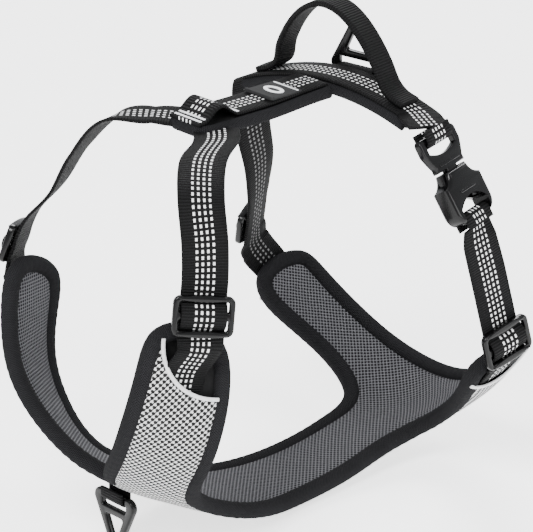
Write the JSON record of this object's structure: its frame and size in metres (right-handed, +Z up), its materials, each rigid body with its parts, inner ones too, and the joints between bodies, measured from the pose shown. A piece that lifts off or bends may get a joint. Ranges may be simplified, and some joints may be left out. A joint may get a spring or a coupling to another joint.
{
  "type": "no pull dog harness",
  "caption": "Adjustable dog harness with padded chest plate, back handle, front and back leash rings and side-release buckle.",
  "frame": {"origin": "centre line of the flat underside of the spine pad", "axes": "+X to the dog's left, -Y towards its head, +Z up off its back"},
  "size_m": [0.2152, 0.2859, 0.2802],
  "materials": {
    "webbing": "ribbed black nylon webbing with white reflective dashes",
    "plastic": "black acetal, satin",
    "binding": "dark charcoal knitted binding tape",
    "foam": "padding, charcoal",
    "lining": "grey spacer mesh",
    "cover": "black and silver woven mesh",
    "piping": "silver reflective piping",
    "label": "dark grey woven label"
  },
  "bodies": {
    "harness": {"back_webbing": "webbing", "near_girth_webbing": "webbing", "near_neck_webbing": "webbing", "far_neck_webbing": "webbing", "spine_webbing": "webbing", "handle_near_foot": "webbing", "handle_far_foot": "webbing", "back_ring_tab": "webbing", "front_ring_tab": "webbing", "buckle_male_fold": "webbing", "buckle_male": "plastic", "spine_binding": "binding", "girth_band_front_binding": "binding", "girth_band_rear_binding": "binding", "chest_plate_binding": "binding", "girth_band": "foam", "spine_pad": "foam", "chest_plate_foam": "foam", "chest_plate_lining": "lining", "chest_plate_cover": "cover", "near_neck_pocket_piping": "piping", "far_neck_pocket_piping": "piping", "near_girth_pocket_piping": "piping", "far_girth_pocket_piping": "piping", "spine_label": "label"},
    "handle": {"handle_grip": "webbing"},
    "back_leash_ring": {"back_ring": "plastic"},
    "front_leash_ring": {"front_ring": "plastic"},
    "buckle_socket": {"buckle_female": "plastic", "buckle_female_fold": "webbing"},
    "front_prong": {"buckle_front_prong": "plastic"},
    "rear_prong": {"buckle_rear_prong": "plastic"},
    "near_neck_adjuster": {"near_neck_slider": "plastic", "near_neck_slider_fold": "webbing"},
    "near_girth_adjuster": {"near_girth_slider": "plastic", "near_girth_slider_fold": "webbing"},
    "far_neck_adjuster": {"far_neck_slider": "plastic", "far_neck_slider_fold": "webbing"},
    "far_girth_adjuster": {"far_girth_slider": "plastic", "far_girth_slider_fold": "webbing"}
  },
  "joints": [
    {"name": "handle_tilt", "type": "hinge", "parent": "harness", "child": "handle", "pos_m": [0, 0.057, 0.012], "axis": [0.9877, 0.1564, 0], "range_deg": [-10, 60], "deforming": ["handle_near_foot", "handle_far_foot"]},
    {"name": "back_ring_swing", "type": "hinge", "parent": "harness", "child": "back_leash_ring", "pos_m": [-0.00329, 0.07774, 0.0048], "axis": [0.9877, 0.1564, 0], "range_deg": [-75, 30]},
    {"name": "front_ring_swing", "type": "hinge", "parent": "harness", "child": "front_leash_ring", "pos_m": [0, -0.106, -0.1982], "axis": [1, 0, 0], "range_deg": [-80, 40]},
    {"name": "buckle_release", "type": "slide", "parent": "harness", "child": "buckle_socket", "axis": [0.4784, 0.1591, -0.8636], "range_m": [0, 0.022], "deforming": ["near_girth_webbing"]},
    {"name": "front_prong_squeeze", "type": "hinge", "parent": "harness", "child": "front_prong", "pos_m": [0.08706, 0.05272, -0.02624], "axis": [0.8415, 0.1979, 0.5027], "range_deg": [0, 20.5]},
    {"name": "rear_prong_squeeze", "type": "hinge", "parent": "harness", "child": "rear_prong", "pos_m": [0.08174, 0.07322, -0.02541], "axis": [0.8415, 0.1979, 0.5027], "range_deg": [-20.5, 0]},
    {"name": "near_neck_adjust", "type": "slide", "parent": "harness", "child": "near_neck_adjuster", "axis": [-0.062, 0.166, 0.9842], "range_m": [0, 0.008]},
    {"name": "near_girth_adjust", "type": "slide", "parent": "harness", "child": "near_girth_adjuster", "axis": [-0.059, -0.236, 0.97], "range_m": [0, 0.008]},
    {"name": "far_neck_adjust", "type": "slide", "parent": "harness", "child": "far_neck_adjuster", "axis": [0.1409, 0.3059, 0.9416], "range_m": [0, 0.005]},
    {"name": "far_girth_adjust", "type": "slide", "parent": "harness", "child": "far_girth_adjuster", "axis": [0.3488, -0.2009, 0.9154], "range_m": [0, 0.008]}
  ],
  "couplings": [
    {"joint": "front_prong_squeeze", "follows": "buckle_release", "rad_per_m": 15.7},
    {"joint": "rear_prong_squeeze", "follows": "buckle_release", "rad_per_m": -15.7}
  ]
}
